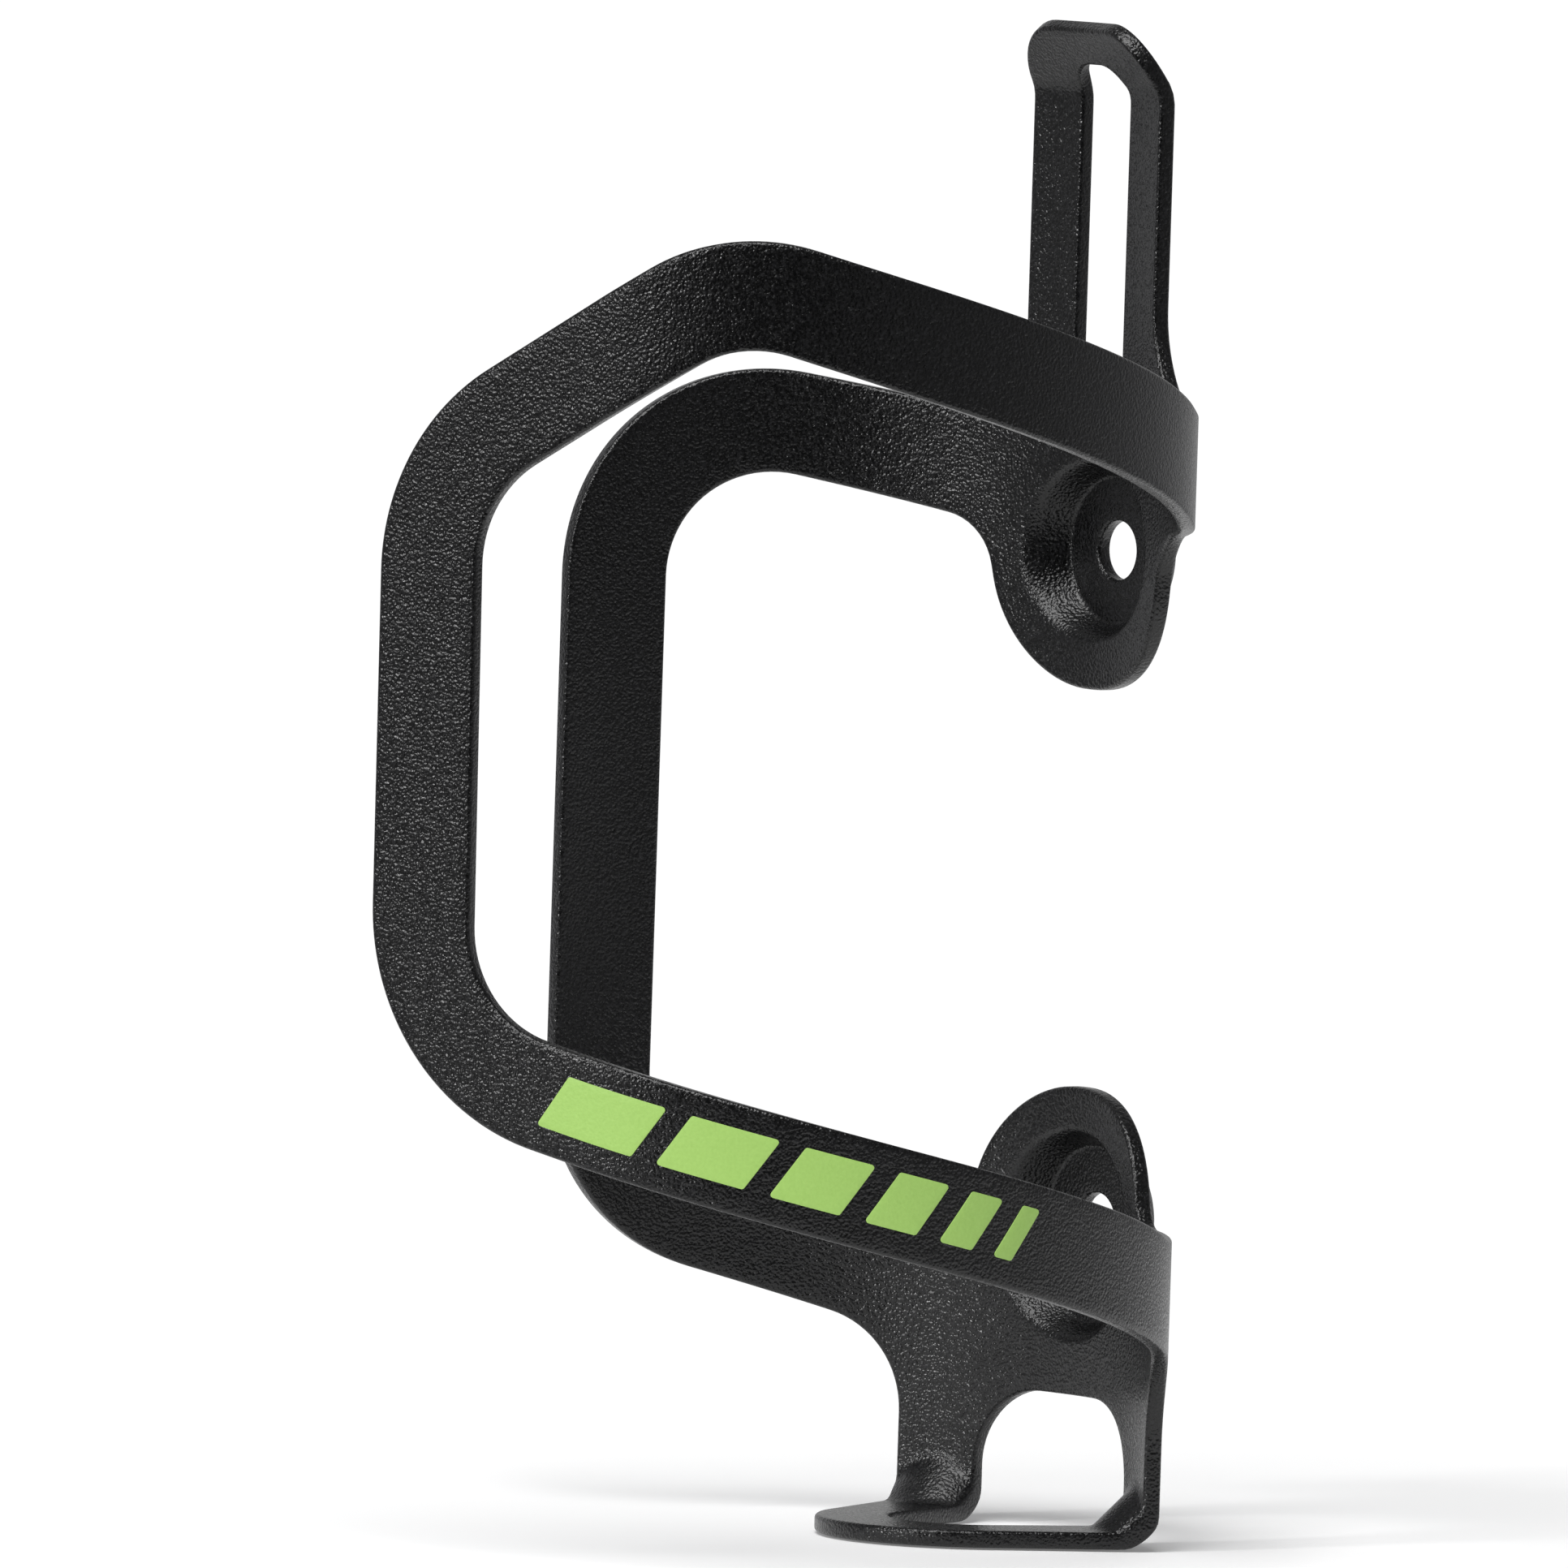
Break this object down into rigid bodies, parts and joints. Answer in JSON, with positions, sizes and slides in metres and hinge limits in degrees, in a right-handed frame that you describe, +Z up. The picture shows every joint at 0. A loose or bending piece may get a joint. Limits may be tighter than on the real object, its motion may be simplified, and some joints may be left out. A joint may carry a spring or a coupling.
{
  "type": "bicycle water bottle cage",
  "caption": "Side-entry bottle cage pressed from one black sheet, with two looped arms, a slotted tongue, a bent foot and printed green marks.",
  "frame": {"origin": "centre of the upper bolt hole, on the back face of its boss, which meets the frame tube", "axes": "+Z up the bottle and the frame tube, +Y towards the frame tube, so the bottle stands on the -Y side; +X towards the side the long arm wraps; the bottle goes in from the -X -Y side"},
  "size_m": [0.0758, 0.0846, 0.1412],
  "materials": {
    "powder_coat": "fine wrinkle black powder coat on aluminium sheet",
    "green_ink": "flat screen-printed ink"
  },
  "bodies": {
    "root": {"cage_body": "powder_coat", "ink_mark_1": "green_ink", "ink_mark_2": "green_ink", "ink_mark_3": "green_ink", "ink_mark_4": "green_ink", "ink_mark_5": "green_ink", "ink_mark_6": "green_ink"}
  },
  "joints": []
}
